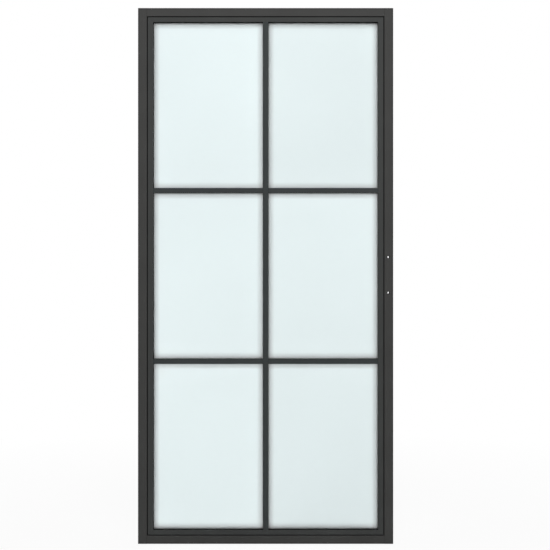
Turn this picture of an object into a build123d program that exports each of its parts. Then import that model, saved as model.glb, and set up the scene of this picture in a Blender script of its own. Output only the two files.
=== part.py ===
from build123d import *
import os

# A glazed sliding door leaf: a hollow metal frame, one vertical bar and two rows of crossbars,
# six satin panes in rubber channels, and beads and covers that snap on from the front.
# Sizes are in millimetres. X runs across the door, Y from its front to its back and Z up.
# The origin is at the middle of the bottom edge.

# Overall size
door_width = 1000.0
door_height = 2100.0
door_thickness = 40.0

# The front face, from the door's edge inwards
stile_band = 34.6
rail_band = 32.4
shadow_gap = 3.4
stile_bead_face = 21.5
rail_bead_face = 19.0
bar_face = 22.0
crossbar_face = 20.0
edge_radius = 1.0

# Walls of the drawn sections
frame_wall = 2.0
cover_wall = 1.6
bar_web = 3.0

# The glass and what holds it
glass_thickness = 6.0
glass_arris = 0.5
frame_bite = 15.0
channel_leg = 2.0
channel_base = 1.5
channel_inset = 0.5
pane_edge_gap = 1.0
rear_lip_depth = 8.0
block_length = 80.0

# The clips that hold the beads and covers: a hook face, this far in front of the glazing channel
clip_setback = 9.0
clip_rib = 2.0
clip_rib_reach = 2.5
hook_reach = 2.3
hook_nose = 0.8
hook_length = 2.6
spring_gap = 0.4
spring_wall = 1.4
head_reach = 1.5
head_length = 2.5
head_nose = 1.0
cover_foot = 5.0
mitre_gap = 0.2

# A screw port along each rail's tube, and the hexagon headed corner screws that bite in the ports
port_radius = 4.6
port_sink = 0.8
port_mouth = 2.4
port_web = 1.6
port_setback = 10.5
corner_screw_radius = 2.8
corner_screw_clearance = 0.1
corner_screw_bite = 34.0
corner_head_width = 10.0
corner_head_height = 4.0
access_radius = 6.5
plug_clearance = 0.1
plug_depth = 4.5

# Flat spigots and joiners inside the hollow lips and flanges
spigot_clearance = 0.2
spigot_in_frame = 20.0
spigot_in_bar = 30.0

# The pull handle's two holes in the right stile
handle_height = 1054.0
handle_spacing = 140.0
handle_hole_radius = 4.5
handle_setback = 18.0
sleeve_wall = 2.0

# The two hanger plates in the top rail
hanger_offset = 380.0
hanger_spacing = 80.0
hanger_hole_radius = 4.5
hanger_tap_radius = 4.0
plate_length = 110.0
plate_width = 19.0
plate_thickness = 6.0
plate_screw_radius = 2.0
plate_screw_clearance = 0.1
plate_head_radius = 3.8
plate_key_width = 2.5
plate_key_depth = 1.2

# Plastic caps on the stiles' open ends; their plugs end short of the access holes
cap_plate = 2.0
cap_plug_gap = 1.7
cap_plug_wall = 1.8
cap_clearance = 0.2

# Places that follow from the sizes above
stile_sight = stile_band + shadow_gap + stile_bead_face
rail_sight = rail_band + shadow_gap + rail_bead_face
channel_depth = glass_thickness + 2 * channel_leg
bead_depth = door_thickness - rear_lip_depth - channel_depth
glass_front = bead_depth + channel_leg
lip_front = door_thickness - rear_lip_depth
clip_face = bead_depth - clip_setback
daylight_height = (door_height - 2 * rail_sight - 2 * crossbar_face) / 3
lower_row = rail_sight + daylight_height + crossbar_face / 2
upper_row = lower_row + daylight_height + crossbar_face
crossbar_length = door_width / 2 - stile_sight - bar_face / 2
front = -door_thickness / 2
handle_x = door_width / 2 - handle_setback
cap_plug_depth = rail_band / 2 - access_radius - cap_plug_gap

# Each side of the frame: its first corner, the way in towards the glass, and the way along it,
# clockwise as seen from the front. Local x is in, local y is back and local z is along.
frame_sides = {
    "left": ((-door_width / 2, front, 0), (1, 0, 0), (0, 0, 1)),
    "top": ((-door_width / 2, front, door_height), (0, 0, -1), (1, 0, 0)),
    "right": ((door_width / 2, front, door_height), (-1, 0, 0), (0, 0, -1)),
    "bottom": ((door_width / 2, front, 0), (0, 0, 1), (-1, 0, 0)),
}


def side_plane(side):
    corner, inward, along = frame_sides[side]
    return Plane(origin=corner, x_dir=inward, z_dir=along)


def is_stile(side):
    return side in ("left", "right")


def side_band(side):
    return stile_band if is_stile(side) else rail_band


def side_sight(side):
    return stile_sight if is_stile(side) else rail_sight


def side_length(side):
    return door_height if is_stile(side) else door_width


def crossing_side(side):
    return "top" if is_stile(side) else "left"


# Plain shapes by their corners

def strip(low_x, high_x, low_y, high_y):
    middle = Pos((low_x + high_x) / 2, (low_y + high_y) / 2)
    return middle * Rectangle(high_x - low_x, high_y - low_y)


def block(low_x, high_x, low_y, high_y, low_z, high_z):
    middle = Pos((low_x + high_x) / 2, (low_y + high_y) / 2, (low_z + high_z) / 2)
    return middle * Box(high_x - low_x, high_y - low_y, high_z - low_z)


def outline(*points):
    return make_face(Polyline(*points, close=True))


def rounded(section, radius, *points):
    picked = [
        vertex
        for vertex in section.vertices()
        if any(abs(vertex.X - x) < 1e-4 and abs(vertex.Y - y) < 1e-4 for x, y in points)
    ]
    return fillet(picked, radius)


def both_ways(section):
    return section + mirror(section, Plane.YZ)


# Round bars along local x, y and z, from one end to the other

def rod_x(low_x, high_x, y, z, radius):
    return Pos((low_x + high_x) / 2, y, z) * Rot(Y=90) * Cylinder(radius, high_x - low_x)


def rod_y(x, low_y, high_y, z, radius):
    return Pos(x, (low_y + high_y) / 2, z) * Rot(X=90) * Cylinder(radius, high_y - low_y)


def rod_z(x, y, low_z, high_z, radius):
    return Pos(x, y, (low_z + high_z) / 2) * Cylinder(radius, high_z - low_z)


# The frame section: a tube, a lip behind the glass and a rib that the bead hooks on

def frame_section(side):
    band = side_band(side)
    sight = side_sight(side)
    body = strip(0, band, 0, door_thickness) + strip(band, sight, lip_front, door_thickness)
    body = rounded(
        body,
        edge_radius,
        (0, 0),
        (band, 0),
        (0, door_thickness),
        (sight, door_thickness),
        (sight, lip_front),
    )
    body -= strip(frame_wall, band - frame_wall, frame_wall, door_thickness - frame_wall)
    body -= strip(band, sight - frame_wall, lip_front + frame_wall, door_thickness - frame_wall)
    return body + strip(band, band + clip_rib_reach, clip_face - clip_rib, clip_face)


# A rail's screw port: a slit tube along the middle of its band, on a web from the front wall

def with_port(section):
    middle = rail_band / 2
    section += strip(
        middle - port_web / 2,
        middle + port_web / 2,
        frame_wall,
        port_setback - port_radius + port_sink,
    )
    port = Circle(port_radius) - Circle(corner_screw_radius + corner_screw_clearance)
    port -= strip(-port_mouth / 2, port_mouth / 2, 0, port_radius)
    return section + Pos(middle, port_setback) * port


# Slots in a lip's edge, where the spigots of the bars that meet it go in

def spigot_slots(side):
    half_slot = (crossbar_face if is_stile(side) else bar_face) / 2 - frame_wall
    places = [lower_row, upper_row] if is_stile(side) else [door_width / 2]
    sight = side_sight(side)
    return [
        block(
            sight - frame_wall,
            sight,
            lip_front + frame_wall,
            door_thickness - frame_wall,
            place - half_slot,
            place + half_slot,
        )
        for place in places
    ]


def stile(side):
    tube = extrude(frame_section(side), door_height - 2 * cap_plate)
    tube = Pos(0, 0, cap_plate) * tube
    # The rib stops short of the rails and of their own ribs
    rib_end = rail_band + shadow_gap
    for low, high in ((0, rib_end), (door_height - rib_end, door_height)):
        tube -= block(stile_band, stile_sight, 0, lip_front, low, high)
    screw_hole = corner_screw_radius + 2 * corner_screw_clearance
    for along in (rail_band / 2, door_height - rail_band / 2):
        tube -= rod_x(0, frame_wall, port_setback, along, access_radius)
        tube -= rod_x(stile_band - frame_wall, stile_band, port_setback, along, screw_hole)
    for slot in spigot_slots(side):
        tube -= slot
    return side_plane(side) * tube


def handle_places():
    return [handle_height - handle_spacing / 2, handle_height + handle_spacing / 2]


def right_stile():
    piece = stile("right")
    for height in handle_places():
        piece -= rod_y(handle_x, front, -front, height, handle_hole_radius)
    return piece


def rail(side):
    tube = extrude(with_port(frame_section(side)), door_width - 2 * stile_band)
    tube = Pos(0, 0, stile_band) * tube
    # Both ends are coped round the stiles' lips
    for low, high in ((0, stile_sight), (door_width - stile_sight, door_width)):
        tube -= block(0, rail_sight, lip_front, door_thickness, low, high)
    for slot in spigot_slots(side):
        tube -= slot
    return side_plane(side) * tube


def top_rail():
    piece = rail("top")
    for middle in (-hanger_offset, hanger_offset):
        for x in (middle - hanger_spacing / 2, middle + hanger_spacing / 2):
            piece -= rod_z(x, 0, door_height - frame_wall, door_height, hanger_hole_radius)
        piece -= Pos(middle, 0, door_height) * plate_screw_form(plate_screw_clearance)
    return piece


# A bead: face, side towards the glass, rear wall on the channel, and a sprung leg with a hook

def bead_section(side):
    outer = side_band(side) + shadow_gap
    sight = side_sight(side)
    rear_wall_start = sight - frame_bite - channel_base
    body = strip(outer, sight, 0, cover_wall)
    body += strip(sight - cover_wall, sight, 0, bead_depth)
    body += strip(rear_wall_start, sight, bead_depth - cover_wall, bead_depth)
    body += strip(outer, outer + cover_wall, 0, clip_face + hook_length)
    body += outline(
        (outer, clip_face),
        (outer - hook_reach, clip_face),
        (outer - hook_reach, clip_face + hook_nose),
        (outer, clip_face + hook_length),
    )
    return rounded(body, edge_radius, (outer, 0), (sight, 0))


def bead(side):
    length = side_length(side)
    run = extrude(bead_section(side), length)
    crossing = crossing_side(side)
    outer_cut = side_band(crossing) + mitre_gap / 2
    inner_cut = side_sight(crossing) + mitre_gap / 2
    mitred = outline(
        (side_band(side), outer_cut),
        (side_sight(side), inner_cut),
        (side_sight(side), length - inner_cut),
        (side_band(side), length - outer_cut),
    )
    keep = extrude(Plane.XZ * mitred, -bead_depth)
    return side_plane(side) * (run & keep)


# A glazing bar: hollow flange behind the glass, web between the panes and an arrow head

def bar_section(face):
    half = face / 2
    body = strip(-half, half, lip_front, door_thickness)
    body = rounded(
        body,
        edge_radius,
        (-half, door_thickness),
        (half, door_thickness),
        (-half, lip_front),
        (half, lip_front),
    )
    body -= strip(
        frame_wall - half, half - frame_wall, lip_front + frame_wall, door_thickness - frame_wall
    )
    head = head_reach + bar_web / 2
    body += strip(-bar_web / 2, bar_web / 2, clip_face, lip_front)
    body += outline(
        (-bar_web / 2, clip_face - head_length),
        (bar_web / 2, clip_face - head_length),
        (head, clip_face - head_nose),
        (head, clip_face),
        (-head, clip_face),
        (-head, clip_face - head_nose),
    )
    return body


# A bar's cover: a deep channel with feet on the glazing channels and two sprung legs inside

def cover_section(face):
    half = face / 2
    head = head_reach + bar_web / 2
    leg = head + spring_gap
    side = strip(half - cover_wall, half, 0, bead_depth)
    side += strip(half - cover_foot, half, bead_depth - cover_wall, bead_depth)
    side += strip(leg, leg + spring_wall, 0, clip_face + hook_length)
    side += outline(
        (leg, clip_face),
        (bar_web / 2 + spring_gap, clip_face),
        (bar_web / 2 + spring_gap, clip_face + hook_nose),
        (leg, clip_face + hook_length),
    )
    body = strip(-half, half, 0, cover_wall) + both_ways(side)
    return rounded(body, edge_radius, (-half, 0), (half, 0))


def upright(section):
    plane = Plane(origin=(0, front, rail_sight), x_dir=(1, 0, 0), z_dir=(0, 0, 1))
    return plane * extrude(section, door_height - 2 * rail_sight)


def crosswise(section, column, height):
    start = -bar_face / 2 if column == "left" else bar_face / 2 + crossbar_length
    plane = Plane(origin=(start, front, height), x_dir=(0, 0, 1), z_dir=(-1, 0, 0))
    return plane * extrude(section, crossbar_length)


def vertical_bar():
    piece = upright(bar_section(bar_face))
    half_slot = crossbar_face / 2 - frame_wall
    for height in (lower_row, upper_row):
        piece -= block(
            -bar_face / 2,
            bar_face / 2,
            front + lip_front + frame_wall,
            -front - frame_wall,
            height - half_slot,
            height + half_slot,
        )
    return piece


# The panes, and the rubber channel round each

def pane_corners(column, row):
    outer_x = door_width / 2 - stile_sight + frame_bite
    inner_x = bar_web / 2 + pane_edge_gap + channel_base
    low_x, high_x = (-outer_x, -inner_x) if column == "left" else (inner_x, outer_x)
    on_web = bar_web / 2 + channel_base
    under_web = on_web + pane_edge_gap
    low_z, high_z = {
        "bottom": (rail_sight - frame_bite, lower_row - under_web),
        "middle": (lower_row + on_web, upper_row - under_web),
        "top": (upper_row + on_web, door_height - rail_sight + frame_bite),
    }[row]
    return low_x, high_x, low_z, high_z


def daylight_corners(column, row):
    outer_x = door_width / 2 - stile_sight
    low_x, high_x = (-outer_x, -bar_face / 2) if column == "left" else (bar_face / 2, outer_x)
    steps = {"bottom": 0, "middle": 1, "top": 2}[row]
    low_z = rail_sight + steps * (daylight_height + crossbar_face)
    return low_x, high_x, low_z, low_z + daylight_height


def pane_block(column, row):
    low_x, high_x, low_z, high_z = pane_corners(column, row)
    pane_front = front + glass_front
    return block(low_x, high_x, pane_front, pane_front + glass_thickness, low_z, high_z)


def pane(column, row):
    glass = pane_block(column, row)
    return chamfer(glass.edges(), glass_arris)


def glazing_channel(column, row):
    low_x, high_x, low_z, high_z = pane_corners(column, row)
    channel_front = front + bead_depth
    channel_back = channel_front + channel_depth
    ring = block(
        low_x - channel_base,
        high_x + channel_base,
        channel_front,
        channel_back,
        low_z - channel_base,
        high_z + channel_base,
    )
    low_x, high_x, low_z, high_z = daylight_corners(column, row)
    ring -= block(
        low_x - channel_inset,
        high_x + channel_inset,
        channel_front,
        channel_back,
        low_z - channel_inset,
        high_z + channel_inset,
    )
    return ring - pane_block(column, row)


def setting_blocks():
    blocks = []
    for column in ("left", "right"):
        low_x, high_x, low_z, _ = pane_corners(column, "bottom")
        for share in (1 / 4, 3 / 4):
            middle = low_x + share * (high_x - low_x)
            blocks.append(
                block(
                    middle - block_length / 2,
                    middle + block_length / 2,
                    front + bead_depth,
                    front + lip_front,
                    rail_band,
                    low_z - channel_base,
                )
            )
    return blocks


# Spigots and joiners: flat bars that carry the glazing bars on the frame and on each other

def flat_bar(low_x, high_x, low_z, high_z):
    inset = frame_wall + spigot_clearance
    return block(low_x, high_x, front + lip_front + inset, -front - inset, low_z, high_z)


def stile_spigot(column, height):
    half = crossbar_face / 2 - frame_wall - spigot_clearance
    sight_x = door_width / 2 - stile_sight
    low_x, high_x = sight_x - spigot_in_bar, sight_x + spigot_in_frame
    if column == "left":
        low_x, high_x = -high_x, -low_x
    return flat_bar(low_x, high_x, height - half, height + half)


def rail_spigot(end):
    half = bar_face / 2 - frame_wall - spigot_clearance
    if end == "bottom":
        return flat_bar(-half, half, rail_sight - spigot_in_frame, rail_sight + spigot_in_bar)
    sight_z = door_height - rail_sight
    return flat_bar(-half, half, sight_z - spigot_in_bar, sight_z + spigot_in_frame)


def crossbar_joiner(height):
    half = crossbar_face / 2 - frame_wall - spigot_clearance
    reach = bar_face / 2 + spigot_in_bar
    return flat_bar(-reach, reach, height - half, height + half)


# Corner screws run from inside the stiles into the rails' ports, behind plugged access holes

def corner_screw():
    head = extrude(
        RegularPolygon(corner_head_width / 2, 6, major_radius=False), corner_head_height
    )
    head = Pos(-corner_head_height, 0, 0) * Rot(Y=90) * head
    return head + rod_x(0, frame_wall + corner_screw_bite, 0, 0, corner_screw_radius)


def at_corners(piece):
    return [
        side_plane(side) * Pos(0, port_setback, along) * piece
        for side in ("left", "right")
        for along in (rail_band / 2, door_height - rail_band / 2)
    ]


def corner_screws():
    return at_corners(Pos(stile_band - frame_wall, 0, 0) * corner_screw())


def hole_plugs():
    return at_corners(rod_x(0, plug_depth, 0, 0, access_radius - plug_clearance))


# Handle sleeves stand between the right stile's front and back walls

def handle_sleeve(height):
    low, high = front + frame_wall, -front - frame_wall
    tube = rod_y(handle_x, low, high, height, handle_hole_radius + sleeve_wall)
    return tube - rod_y(handle_x, low, high, height, handle_hole_radius)


# Hanger plates lie under the top rail's outer wall, each held by one countersunk screw

def plate_screw_form(clearance):
    head_height = plate_head_radius - plate_screw_radius
    head = Cone(plate_screw_radius + clearance, plate_head_radius + clearance, head_height)
    shank = rod_z(0, 0, -frame_wall - plate_thickness, 0, plate_screw_radius + clearance)
    return Pos(0, 0, -head_height / 2) * head + shank


def plate_screw():
    key = extrude(RegularPolygon(plate_key_width / 2, 6, major_radius=False), -plate_key_depth)
    return plate_screw_form(0) - key


def plate_screws():
    return [Pos(x, 0, door_height) * plate_screw() for x in (-hanger_offset, hanger_offset)]


def hanger_plate(middle):
    high = door_height - frame_wall
    low = high - plate_thickness
    plate = block(
        middle - plate_length / 2,
        middle + plate_length / 2,
        -plate_width / 2,
        plate_width / 2,
        low,
        high,
    )
    for x in (middle - hanger_spacing / 2, middle + hanger_spacing / 2):
        plate -= rod_z(x, 0, low, high, hanger_tap_radius)
    return plate - Pos(middle, 0, door_height) * plate_screw_form(plate_screw_clearance)


# End caps: a plate over the stile's whole section and a hollow plug in its tube

def end_cap(side, end):
    plate = strip(0, stile_band, 0, door_thickness)
    plate += strip(stile_band, stile_sight, lip_front, door_thickness)
    plate = rounded(
        plate,
        edge_radius,
        (0, 0),
        (stile_band, 0),
        (0, door_thickness),
        (stile_sight, door_thickness),
        (stile_sight, lip_front),
    )
    outer = frame_wall + cap_clearance
    inner = outer + cap_plug_wall
    plug = strip(outer, stile_band - outer, outer, door_thickness - outer)
    plug -= strip(inner, stile_band - inner, inner, door_thickness - inner)
    cap = extrude(plate, cap_plate) + extrude(plug, cap_plug_depth)
    # A stile's own run starts at the bottom on the left and at the top on the right
    if (side == "left") != (end == "bottom"):
        cap = Pos(0, 0, door_height) * mirror(cap, Plane.XY)
    return side_plane(side) * cap


def door_pieces():
    pieces = {
        "left_stile": stile("left"),
        "right_stile": right_stile(),
        "top_rail": top_rail(),
        "bottom_rail": rail("bottom"),
        "vertical_bar": vertical_bar(),
        "vertical_bar_cover": upright(cover_section(bar_face)),
        "setting_blocks": setting_blocks(),
        "top_spigot": rail_spigot("top"),
        "bottom_spigot": rail_spigot("bottom"),
        "corner_screws": corner_screws(),
        "screw_hole_plugs": hole_plugs(),
        "hanger_plate_screws": plate_screws(),
        "handle_sleeves": [handle_sleeve(height) for height in handle_places()],
    }
    for side in frame_sides:
        pieces[f"{side}_bead"] = bead(side)
    rows = {"lower": lower_row, "upper": upper_row}
    for row, height in rows.items():
        pieces[f"{row}_crossbar_joiner"] = crossbar_joiner(height)
        for column in ("left", "right"):
            bar = crosswise(bar_section(crossbar_face), column, height)
            cover = crosswise(cover_section(crossbar_face), column, height)
            pieces[f"{row}_{column}_crossbar"] = bar
            pieces[f"{row}_{column}_crossbar_cover"] = cover
            pieces[f"{row}_{column}_spigot"] = stile_spigot(column, height)
    for row in ("bottom", "middle", "top"):
        for column in ("left", "right"):
            pieces[f"{row}_{column}_pane"] = pane(column, row)
            pieces[f"{row}_{column}_channel"] = glazing_channel(column, row)
    for column, middle in (("left", -hanger_offset), ("right", hanger_offset)):
        pieces[f"{column}_hanger_plate"] = hanger_plate(middle)
        pieces[f"{column}_top_cap"] = end_cap(column, "top")
        pieces[f"{column}_foot_cap"] = end_cap(column, "bottom")
    return pieces


os.makedirs("parts", exist_ok=True)
for name, piece in door_pieces().items():
    solids = piece if isinstance(piece, list) else piece.solids()
    whole = Compound(children=solids) if len(solids) > 1 else solids[0]
    export_step(whole, f"parts/{name}.step")
    print(name, len(solids))
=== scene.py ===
import math
import bpy
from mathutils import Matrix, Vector


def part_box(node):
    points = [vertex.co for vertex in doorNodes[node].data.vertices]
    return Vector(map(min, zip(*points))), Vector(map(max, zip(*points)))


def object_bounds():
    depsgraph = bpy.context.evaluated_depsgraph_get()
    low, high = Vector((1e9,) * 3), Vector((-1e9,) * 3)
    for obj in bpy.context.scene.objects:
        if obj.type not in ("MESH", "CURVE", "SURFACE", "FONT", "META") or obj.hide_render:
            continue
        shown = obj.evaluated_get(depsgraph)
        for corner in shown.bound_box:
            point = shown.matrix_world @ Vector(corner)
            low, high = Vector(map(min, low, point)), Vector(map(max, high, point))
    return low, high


# Glazed sliding door leaf: finishes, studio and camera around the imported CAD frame
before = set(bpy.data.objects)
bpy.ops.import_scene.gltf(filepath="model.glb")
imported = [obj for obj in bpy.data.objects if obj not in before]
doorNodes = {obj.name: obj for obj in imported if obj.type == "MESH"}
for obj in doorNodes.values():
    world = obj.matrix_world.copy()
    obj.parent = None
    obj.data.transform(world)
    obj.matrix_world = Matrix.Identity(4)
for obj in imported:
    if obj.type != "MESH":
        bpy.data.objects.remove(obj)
cadLow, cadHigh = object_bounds()
scene = bpy.context.scene
print("door leaf loaded,", len(doorNodes), "nodes,",
      [round(high - low, 3) for low, high in zip(cadLow, cadHigh)], "m")


# Node shorthand: every finish below is wired with these

def startFinish(name):
    finish = bpy.data.materials.new(name)
    finish.use_nodes = True
    tree = finish.node_tree
    return finish, tree, tree.nodes["Principled BSDF"]


def feed(tree, socket, source):
    # a source is another node's output or a fixed value; fixed colours are written without alpha
    if isinstance(source, bpy.types.NodeSocket):
        tree.links.new(source, socket)
    elif socket.type == "RGBA":
        socket.default_value = (*source, 1)
    else:
        socket.default_value = source


def wire(tree, node, sources):
    for socketName, source in sources.items():
        feed(tree, node.inputs[socketName], source)
    return node


def calculate(tree, kind, operation, terms):
    # a Math or VectorMath node, its terms in the order of its sockets
    node = tree.nodes.new(f"ShaderNode{kind}")
    node.operation = operation
    for socket, term in zip(node.inputs, terms):
        feed(tree, socket, term)
    return node.outputs


def number(tree, operation, *terms):
    return calculate(tree, "Math", operation, terms)["Value"]


def chain(tree, operation, first, *others):
    # of masks, MAXIMUM is any of them and MULTIPLY all of them
    for other in others:
        first = number(tree, operation, first, other)
    return first


def distance(tree, point, centre):
    return calculate(tree, "VectorMath", "DISTANCE", (point, centre))["Value"]


def scaled(tree, colour, *shares):
    # a share is one number, or has its own red, green and blue
    for share in shares:
        colour = calculate(tree, "VectorMath", "MULTIPLY", (colour, share))["Vector"]
    return colour


def doorMetres(tree):
    # object coordinates are the door's own metres, so a pattern keeps its scale on every piece
    return tree.nodes.new("ShaderNodeTexCoord").outputs["Object"]


def doorAxes(tree):
    parts = tree.nodes.new("ShaderNodeSeparateXYZ")
    return wire(tree, parts, {"Vector": doorMetres(tree)}).outputs


def squeezed(tree, squeeze):
    mapping = tree.nodes.new("ShaderNodeMapping")
    wire(tree, mapping, {"Vector": doorMetres(tree), "Scale": squeeze})
    return mapping.outputs["Vector"]


def drawnOut(axes, squeeze):
    # squeezed coordinates draw a pattern out along the named axes
    return tuple(squeeze if axis in axes else 1 for axis in "xyz")


def cloud(tree, size, detail=2.0, roughness=0.5, squeeze=(1, 1, 1)):
    noise = tree.nodes.new("ShaderNodeTexNoise")
    wire(tree, noise, {"Vector": squeezed(tree, squeeze), "Scale": 1 / size,
                       "Detail": detail, "Roughness": roughness})
    return noise.outputs["Fac"]


def pits(tree, size):
    cells = tree.nodes.new("ShaderNodeTexVoronoi")
    cells.feature = "SMOOTH_F1"
    wire(tree, cells, {"Vector": doorMetres(tree), "Scale": 1 / size})
    return cells.outputs["Distance"]


def spread(tree, source, low, high, fromLow=0.3, fromHigh=0.7):
    # a cloud's values lie mostly between 0.3 and 0.7
    span = tree.nodes.new("ShaderNodeMapRange")
    wire(tree, span, {"Value": source, "From Min": fromLow, "From Max": fromHigh,
                      "To Min": low, "To Max": high})
    return span.outputs["Result"]


def blend(tree, share, start, end, kind="RGBA"):
    # between two colours, or two numbers where the kind is FLOAT
    mix = tree.nodes.new("ShaderNodeMix")
    mix.data_type = kind
    return wire(tree, mix, {"Factor": share, "A": start, "B": end}).outputs["Result"]


def shaded(colour, share):
    return tuple(channel * share for channel in colour)


def drifting(tree, source, colour, shades):
    # the colour, darker and lighter with a cloud, from the first shade to the second
    dark, light = (shaded(colour, share) for share in shades)
    return blend(tree, spread(tree, source, 0, 1), dark, light)


def bumps(tree, shader, *layers):
    # layers are (height source, relief), from the coarse one to the fine one
    normal = None
    for height, (strength, depth) in layers:
        bump = tree.nodes.new("ShaderNodeBump")
        wire(tree, bump, {"Height": height, "Strength": strength, "Distance": depth})
        if normal:
            wire(tree, bump, {"Normal": normal})
        normal = bump.outputs["Normal"]
    wire(tree, shader, {"Normal": normal})


def within(tree, *spans):
    # 1 where all the spans hold, 0 elsewhere; a span is (axis, middle, reach)
    axes = doorAxes(tree)
    return chain(tree, "MULTIPLY", *[number(tree, "COMPARE", axes[axis], middle, reach)
                                     for axis, middle, reach in spans])


def fadeToEnds(tree, axis, low, high, shade, reach):
    # 1 between two ends along one axis, fading to the shade over the last stretch at both ends
    middle, half = (low + high) / 2, (high - low) / 2
    fromMiddle = number(tree, "ABSOLUTE", number(tree, "SUBTRACT", doorAxes(tree)[axis], middle))
    return spread(tree, fromMiddle, shade, 1, half, half - reach)


# Powder coat on the drawn sections: fine orange peel, faint draw lines along each length, and
# painted shade.
# Here and below, colours are linear, sizes and reaches are in metres, shades are shares of a
# colour's brightness, and a relief is (bump strength, depth in metres).

coat = {
    "frameColour": (0.0475, 0.0475, 0.046),
    # painted shade: the beads and bars have the frame's own coat, made darker, and the bars get a
    # painted blue-green cast of the glass
    "beadShadedColour": (0.0435, 0.0455, 0.0445),
    "barShadedColour": (0.037, 0.0425, 0.0425),
    "patchSize": 0.16,
    "patchShades": (0.93, 1.07),
    "shine": 0.13,
    "roughness": (0.5, 0.6),
    "drawLineSize": 0.0016,
    "drawLineSqueeze": 0.01,  # draws them out a hundredfold
    "drawLineRelief": (0.12, 0.00002),
    "peelSize": 0.0013,
    "peelRelief": (0.5, 0.00007),
    "grainSize": 0.0005,
    "grainRelief": (0.4, 0.00007),
    "grainShades": (0.84, 1.16),
    "shadeAndSeamColour": (0.002, 0.0022, 0.0022),  # painted shade in the grooves and on the reveals by the glass, and the dark hairlines of the seams
    "shadeAndSeamRoughness": 1.0,
    "shadeMargin": 0.0001,   # keeps the rebate's painted shade off the surfaces that it ends at
    "faceSkin": 0.0006,       # how far behind the front face still counts as the face
    "seamReach": 0.0003,      # half the width of the dark hairline where two pieces butt
    "rimPaintedShade": 0.5,          # painted shade: brightness right at the outline of the front face
    "rimReach": 0.0075,
    "holePaintedShade": 0.15,     # painted shade: brightness of the coat right at the handle holes' edges
    "holeShadeRing": (0.0052, 0.0068),  # distances from the holes' axes over which it fades out
}


def paintedRimShade(tree):
    # painted shade: 1 over most of the leaf, falling to a darker band at the outline of its front
    # face
    shades = [fadeToEnds(tree, axis, low, high, coat["rimPaintedShade"], coat["rimReach"])
              for axis, low, high in (("X", cadLow.x, cadHigh.x), ("Z", cadLow.z, cadHigh.z))]
    onFront = within(tree, ("Y", cadLow.y, coat["faceSkin"]))
    return blend(tree, onFront, 1.0, chain(tree, "MINIMUM", *shades), "FLOAT")


def holeShadeRings(tree):
    # painted shade: 1 on the faces, falling to a dark ring round the two handle holes
    sleevesLow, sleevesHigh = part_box("handle_sleeves")
    radius = (sleevesHigh.x - sleevesLow.x) / 2
    holeX = sleevesLow.x + radius
    onFace = squeezed(tree, (1, 0, 1))   # with the depth left out
    return [spread(tree, distance(tree, onFace, (holeX, 0, holeZ)), coat["holePaintedShade"], 1,
                   *coat["holeShadeRing"])
            for holeZ in (sleevesLow.z + radius, sleevesHigh.z - radius)]


def powderCoat(name, colour, along, shadedSpans, seams=()):
    # the first spans are where shade is painted in the grooves and on the reveals, and each seam is
    # the span of one dark hairline
    finish, tree, shader = startFinish(name)
    patches = cloud(tree, coat["patchSize"], detail=3)
    drawLines = cloud(tree, coat["drawLineSize"], detail=1,
                      squeeze=drawnOut(along, coat["drawLineSqueeze"]))
    peel = cloud(tree, coat["peelSize"], detail=1)
    grain = cloud(tree, coat["grainSize"])
    # painted shade at the outline of the front face, and on the uprights also round the handle
    # holes
    shades = [spread(tree, grain, *coat["grainShades"]), paintedRimShade(tree)]
    if along == "z":
        shades += holeShadeRings(tree)
    openColour = scaled(tree, drifting(tree, patches, colour, coat["patchShades"]), *shades)
    openRoughness = spread(tree, drawLines, *coat["roughness"])
    # painted shade in the grooves and on the reveals, and the dark hairlines of the seams
    paintedShadeAndSeams = chain(tree, "MAXIMUM", within(tree, *shadedSpans), *[within(tree, seam) for seam in seams])
    wire(tree, shader, {
        "Base Color": blend(tree, paintedShadeAndSeams, openColour, coat["shadeAndSeamColour"]),
        "Roughness": blend(tree, paintedShadeAndSeams, openRoughness, coat["shadeAndSeamRoughness"], "FLOAT"),
        "Specular IOR Level": coat["shine"],
    })
    bumps(tree, shader, (drawLines, coat["drawLineRelief"]), (peel, coat["peelRelief"]),
          (grain, coat["grainRelief"]))
    return finish


# Satin glass: etched to a milky white, with the faint blue green of clear float glass, and painted
# shade and light along the beads

satin = {
    "tint": (0.906, 0.97, 0.975),
    "tintShades": (0.988, 1.012),
    "tintSize": 0.5,
    "roughness": (0.94, 1.0),
    "bending": 1.5,            # index of refraction
    "etchSize": 0.0006,
    "etchGrit": 0.7,           # how much the finest grains of the etching show
    "etchRelief": (0.15, 0.00002),
    "edges": (                 # (painted colour right at the beads, reach over which it fades)
        ((0.725, 0.702, 0.7), 0.024),  # painted shadow of the beads, blurred as by the etched glass
        ((1.03, 1.03, 1.03), 0.09),    # painted light, such as the etched face carries back to the beads
    ),
    "paintedPaneShades": {                 # painted shade: each pane's brightness, the right-hand ones darker
        "top_left": 0.98, "top_right": 0.957,
        "middle_left": 0.99, "middle_right": 0.982,
        "bottom_left": 0.994, "bottom_right": 0.978,
    },
}


def paneOpening(name):
    # what the beads and covers leave clear in front of this pane: (low x, high x), (low z, high z)
    row, column = name.split("_")[:2]
    barLow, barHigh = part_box("vertical_bar_cover")
    acrossDoor = {"left": (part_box("left_bead")[1].x, barLow.x),
                  "right": (barHigh.x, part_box("right_bead")[0].x)}
    lowerLow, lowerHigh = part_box("lower_left_crossbar_cover")
    upperLow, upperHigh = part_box("upper_left_crossbar_cover")
    upDoor = {"bottom": (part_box("bottom_bead")[1].z, lowerLow.z),
              "middle": (lowerHigh.z, upperLow.z),
              "top": (upperHigh.z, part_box("top_bead")[0].z)}
    return acrossDoor[column], upDoor[row]


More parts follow.
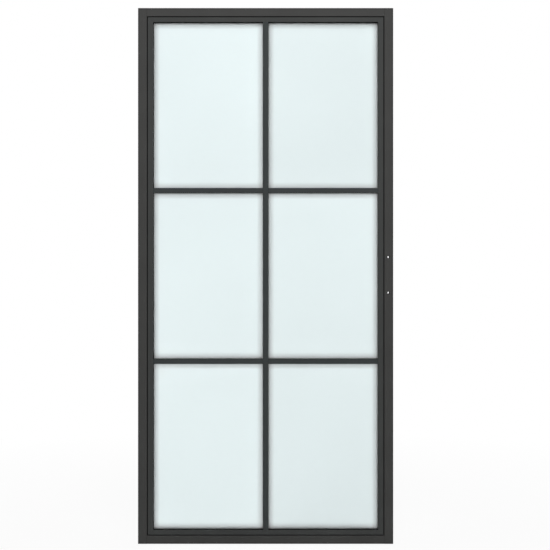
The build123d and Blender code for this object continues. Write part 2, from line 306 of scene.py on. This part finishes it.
def satinGlass(name):
    finish, tree, shader = startFinish(f"satinGlass_{name}")
    paintedPaneShade = satin["paintedPaneShades"][name.removesuffix("_pane")]
    tint = drifting(tree, cloud(tree, satin["tintSize"], detail=1),
                    shaded(satin["tint"], paintedPaneShade), satin["tintShades"])
    # painted shadow and painted light along the sides of the pane's opening
    edges = [blend(tree, fadeToEnds(tree, axis, *ends, 0, reach), edgeColour, (1, 1, 1))
             for axis, ends in zip("XZ", paneOpening(name))
             for edgeColour, reach in satin["edges"]]
    etch = cloud(tree, satin["etchSize"], detail=3, roughness=satin["etchGrit"])
    wire(tree, shader, {
        "Base Color": scaled(tree, tint, *edges),
        "Roughness": spread(tree, etch, *satin["roughness"]),
        "Transmission Weight": 1.0,
        "IOR": satin["bending"],
    })
    bumps(tree, shader, (etch, satin["etchRelief"]))
    return finish


# Rubber channels round the panes: black, wrinkled, with dust in patches

rubber = {
    "colour": (0.012, 0.012, 0.012),
    "dustColour": (0.03, 0.03, 0.029),
    "dustSize": 0.03,
    "dustSpan": (0.45, 0.8),   # values of its cloud between which the dust sets in
    "shine": 0.3,
    "roughness": (0.62, 0.78),
    "roughSize": 0.012,
    "wrinkleSize": 0.006,
    "wrinkleRelief": (0.2, 0.0001),
    "grainSize": 0.0005,
    "grainRelief": (0.4, 0.00002),
}


def channelRubber():
    finish, tree, shader = startFinish("channelRubber")
    dust = spread(tree, cloud(tree, rubber["dustSize"], detail=4), 0, 1, *rubber["dustSpan"])
    wire(tree, shader, {
        "Base Color": blend(tree, dust, rubber["colour"], rubber["dustColour"]),
        "Roughness": spread(tree, cloud(tree, rubber["roughSize"]), *rubber["roughness"]),
        "Specular IOR Level": rubber["shine"],
    })
    bumps(tree, shader,
          (cloud(tree, rubber["wrinkleSize"]), rubber["wrinkleRelief"]),
          (cloud(tree, rubber["grainSize"], detail=3), rubber["grainRelief"]))
    return finish


# Moulded plastic: spark eroded texture of small round pits, duller towards their rims

plastic = {
    "blocks": {"colour": (0.02, 0.02, 0.02), "roughness": (0.4, 0.53), "pitSize": 0.0012},
    "plugs": {"colour": (0.034, 0.034, 0.033), "roughness": (0.45, 0.58), "pitSize": 0.0006},
    "caps": {"colour": (0.024, 0.024, 0.024), "roughness": (0.43, 0.56), "pitSize": 0.0007},
    "shades": (0.88, 1.12),
    "shadeSize": 0.02,
    "shine": 0.4,
    "pitSpan": (0.1, 0.7),     # from a pit's middle to its rim, as shares of the pit size
    "pitRelief": (0.35, 0.00003),
}


def mouldedPlastic(name, kind):
    finish, tree, shader = startFinish(name)
    own = plastic[kind]
    shade = cloud(tree, plastic["shadeSize"], detail=3)
    sparks = pits(tree, own["pitSize"])
    wire(tree, shader, {
        "Base Color": drifting(tree, shade, own["colour"], plastic["shades"]),
        "Roughness": spread(tree, sparks, *own["roughness"], *plastic["pitSpan"]),
        "Specular IOR Level": plastic["shine"],
    })
    bumps(tree, shader, (sparks, plastic["pitRelief"]))
    return finish


# Screws: bright zinc plating with a faint yellow bloom and small dull spots

zinc = {
    "colour": (0.6, 0.61, 0.62),
    "bloomColour": (0.5, 0.49, 0.44),
    "bloomSize": 0.004,
    "bloomSpan": (0.4, 0.75),
    "roughness": (0.22, 0.42),
    "spotSize": 0.002,
    "grainSize": 0.0006,
    "grainRelief": (0.2, 0.00002),
}


def zincSteel():
    finish, tree, shader = startFinish("zincSteel")
    bloom = spread(tree, cloud(tree, zinc["bloomSize"], detail=4), 0, 1, *zinc["bloomSpan"])
    spots = cloud(tree, zinc["spotSize"], detail=3)
    wire(tree, shader, {
        "Base Color": blend(tree, bloom, zinc["colour"], zinc["bloomColour"]),
        "Roughness": spread(tree, spots, *zinc["roughness"]),
        "Metallic": 1.0,
    })
    bumps(tree, shader, (cloud(tree, zinc["grainSize"]), zinc["grainRelief"]))
    return finish


# Spigots, joiners and hanger plates: drawn flat steel, scratched along its length

flatSteel = {
    "colour": (0.52, 0.52, 0.53),
    "scratchColour": (0.3, 0.29, 0.28),
    "roughness": (0.5, 0.3),   # in a scratch, and between them
    "scratchSize": 0.0007,
    "scratchSqueeze": 0.02,
    "scratchRelief": (0.25, 0.00002),
}


def drawnSteel(name, along):
    finish, tree, shader = startFinish(name)
    scratches = cloud(tree, flatSteel["scratchSize"], detail=3,
                      squeeze=drawnOut(along, flatSteel["scratchSqueeze"]))
    wire(tree, shader, {
        "Base Color": blend(tree, spread(tree, scratches, 0, 1), flatSteel["scratchColour"],
                            flatSteel["colour"]),
        "Roughness": spread(tree, scratches, *flatSteel["roughness"]),
        "Metallic": 1.0,
    })
    bumps(tree, shader, (scratches, flatSteel["scratchRelief"]))
    return finish


# Sleeves in the handle holes: black anodised tube, turned rings round the bore; its near-black is
# partly painted shade of the deep holes

sleeve = {
    "colour": (0.006, 0.006, 0.006),
    "shades": (0.8, 1.3),
    "shine": 0.05,
    "roughness": (0.85, 1.0),
    "ringSize": 0.0004,
    "ringSqueeze": 0.05,
    "ringRelief": (0.25, 0.00001),
}


def sleeveMetal():
    finish, tree, shader = startFinish("sleeveMetal")
    rings = cloud(tree, sleeve["ringSize"], squeeze=drawnOut("xz", sleeve["ringSqueeze"]))
    wire(tree, shader, {
        "Base Color": drifting(tree, rings, sleeve["colour"], sleeve["shades"]),
        "Roughness": spread(tree, rings, *sleeve["roughness"]),
        "Specular IOR Level": sleeve["shine"],
    })
    bumps(tree, shader, (rings, sleeve["ringRelief"]))
    return finish


# Which finish goes on which node. The coat's painted shade in the grooves and on the reveals runs
# from just behind the front face to the lip behind the glass, and in the rebate it ends at the
# stiles' and rails' own walls

blocksLow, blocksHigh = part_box("setting_blocks")   # on the bottom rail and against its lip
middleZ = (cadLow.z + cadHigh.z) / 2
frontY = cadLow.y + coat["faceSkin"]
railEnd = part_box("top_rail")[1].x
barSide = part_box("vertical_bar_cover")[1].x
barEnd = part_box("upper_right_crossbar_cover")[1].x
depth = ("Y", (frontY + blocksHigh.y) / 2, (blocksHigh.y - frontY) / 2)
rebate = [depth, ("X", 0, railEnd - coat["shadeMargin"]),
          ("Z", middleZ, middleZ - blocksLow.z - coat["shadeMargin"])]
railSeams = [("X", side * railEnd, coat["seamReach"]) for side in (-1, 1)]
barSeams = [("X", side * end, coat["seamReach"]) for side in (-1, 1) for end in (barSide, barEnd)]
finishes = {
    "uprightFrame": powderCoat("frameCoatUpright", coat["frameColour"], "z", rebate),
    "levelFrame": powderCoat("frameCoatLevel", coat["frameColour"], "x", rebate, railSeams),
    "uprightBead": powderCoat("beadCoatUpright", coat["beadShadedColour"], "z", [depth]),
    "levelBead": powderCoat("beadCoatLevel", coat["beadShadedColour"], "x", [depth]),
    "uprightBar": powderCoat("barCoatUpright", coat["barShadedColour"], "z", [depth]),
    "levelBar": powderCoat("barCoatLevel", coat["barShadedColour"], "x", [depth], barSeams),
    "channel": channelRubber(),
    "blocks": mouldedPlastic("blockPlastic", "blocks"),
    "plugs": mouldedPlastic("plugPlastic", "plugs"),
    "cap": mouldedPlastic("capPlastic", "caps"),
    "screws": zincSteel(),
    "levelSteel": drawnSteel("drawnSteelLevel", "x"),
    "uprightSteel": drawnSteel("drawnSteelUpright", "z"),
    "sleeves": sleeveMetal(),
}
print(len(finishes), "shared finishes made")


def finishFor(name):
    if name.endswith("stile"):
        return "uprightFrame"
    if name.endswith("rail"):
        return "levelFrame"
    if name in ("left_bead", "right_bead"):
        return "uprightBead"
    if name in ("top_bead", "bottom_bead"):
        return "levelBead"
    if name.startswith("vertical_bar"):
        return "uprightBar"
    if "crossbar" in name and not name.endswith("joiner"):
        return "levelBar"
    if name in ("top_spigot", "bottom_spigot"):
        return "uprightSteel"
    if name.endswith(("spigot", "joiner", "plate")):
        return "levelSteel"
    return name.rsplit("_", 1)[-1]   # the rest are keyed by their last word


for name, piece in doorNodes.items():
    finish = satinGlass(name) if name.endswith("pane") else finishes[finishFor(name)]
    piece.data.materials.clear()
    piece.data.materials.append(finish)
print("finishes on", len(doorNodes), "pieces")


# Studio: pale floor, white surround, a large soft lamp above in front and a weak one behind

studio = {
    "floorSize": 60.0,
    "floorColour": (0.9, 0.9, 0.9),
    "floorRoughness": 0.9,
    "floorWhite": 0.92,        # how much of the floor the camera sees as plain white by the leaf
    "shadowReach": (1.0, 3.0), # distances from the leaf over which the floor turns all white
    "ambient": 0.42,           # world light on diffuse surfaces
    "lampSize": 2.6,
    "lampAim": (0, 0, 1.05),   # the leaf's middle
    "keyPlace": (0.3, -4.2, 4.2),
    "keyPower": 135.0,
    "backPlace": (0.0, 4.0, 4.6),
    "backPower": 10.0,
}


def whiteForTheCamera(tree):
    path = tree.nodes.new("ShaderNodeLightPath")
    return chain(tree, "MAXIMUM", path.outputs["Is Camera Ray"], path.outputs["Is Glossy Ray"],
                 path.outputs["Is Transmission Ray"])


def makeSurround():
    world = bpy.data.worlds.new("whiteSurround")
    scene.world = world
    world.use_nodes = True
    tree = world.node_tree
    strength = spread(tree, whiteForTheCamera(tree), studio["ambient"], 1.0, 0, 1)
    wire(tree, tree.nodes["Background"], {"Color": (1, 1, 1), "Strength": strength})


def makeFloor():
    bpy.ops.mesh.primitive_plane_add(size=studio["floorSize"], location=(0, 0, 0))
    floor = bpy.context.object
    floor.name = "studioFloor"
    finish, tree, shader = startFinish("studioFloor")
    wire(tree, shader, {"Base Color": studio["floorColour"],
                        "Roughness": studio["floorRoughness"], "Specular IOR Level": 0.0})
    plainWhite = tree.nodes.new("ShaderNodeEmission")
    wire(tree, plainWhite, {"Color": (1, 1, 1), "Strength": 1.0})
    whiteness = spread(tree, distance(tree, doorMetres(tree), (0, 0, 0)),
                       studio["floorWhite"], 1.0, *studio["shadowReach"])
    mix = tree.nodes.new("ShaderNodeMixShader")
    sources = (number(tree, "MULTIPLY", whiteForTheCamera(tree), whiteness),
               shader.outputs["BSDF"], plainWhite.outputs["Emission"])
    for socket, source in zip(mix.inputs, sources):
        feed(tree, socket, source)
    wire(tree, tree.nodes["Material Output"], {"Surface": mix.outputs["Shader"]})
    floor.data.materials.append(finish)


def softLamp(kind):
    name = f"{kind}Lamp"
    data = bpy.data.lights.new(name, "AREA")
    data.shape = "DISK"
    data.size = studio["lampSize"]
    data.energy = studio[f"{kind}Power"]
    lamp = bpy.data.objects.new(name, data)
    lamp.location = studio[f"{kind}Place"]
    aim = Vector(studio["lampAim"]) - lamp.location
    lamp.rotation_euler = aim.to_track_quat("-Z", "Y").to_euler()
    scene.collection.objects.link(lamp)
    return lamp


def keepOffPanes(lamp):
    # the etched panes show the white surround; this lamp through them would burn out their back
    spared = bpy.data.collections.new(f"{lamp.name}Spares")
    lamp.light_linking.receiver_collection = spared
    for name, piece in doorNodes.items():
        if name.endswith("pane"):
            spared.objects.link(piece)
    for member in spared.collection_objects:
        member.light_linking.link_state = "EXCLUDE"


makeSurround()
makeFloor()
keepOffPanes(softLamp("key"))
softLamp("back")
print("studio ready")


# Camera: square on, a little right of the leaf's middle and above it; the shift only frames it

view = {
    "distance": 4.6,           # from the leaf's front face
    "rightOfMiddle": 0.08,
    "aboveMiddle": 0.07,
    "pixels": 550,             # of the square picture
    "doorWidthPixels": 255.18,
    "rightPixels": 9.38,       # the picture's middle lies this far right of the leaf's middle
    "upPixels": 0.97,
    "sensor": 36.0,            # millimetres
}


def makeCamera():
    data = bpy.data.cameras.new("frontCamera")
    data.sensor_width = view["sensor"]
    pixelSize = (cadHigh.x - cadLow.x) / view["doorWidthPixels"]
    data.lens = view["sensor"] * view["distance"] / (pixelSize * view["pixels"])
    data.shift_x = (view["rightPixels"] - view["rightOfMiddle"] / pixelSize) / view["pixels"]
    data.shift_y = (view["upPixels"] - view["aboveMiddle"] / pixelSize) / view["pixels"]
    camera = bpy.data.objects.new("frontCamera", data)
    camera.location = (view["rightOfMiddle"], cadLow.y - view["distance"],
                       middleZ + view["aboveMiddle"])
    camera.rotation_euler = (math.radians(90), 0, 0)
    scene.collection.objects.link(camera)
    scene.camera = camera


makeCamera()
scene.view_settings.view_transform = "Standard"
print("camera ready")
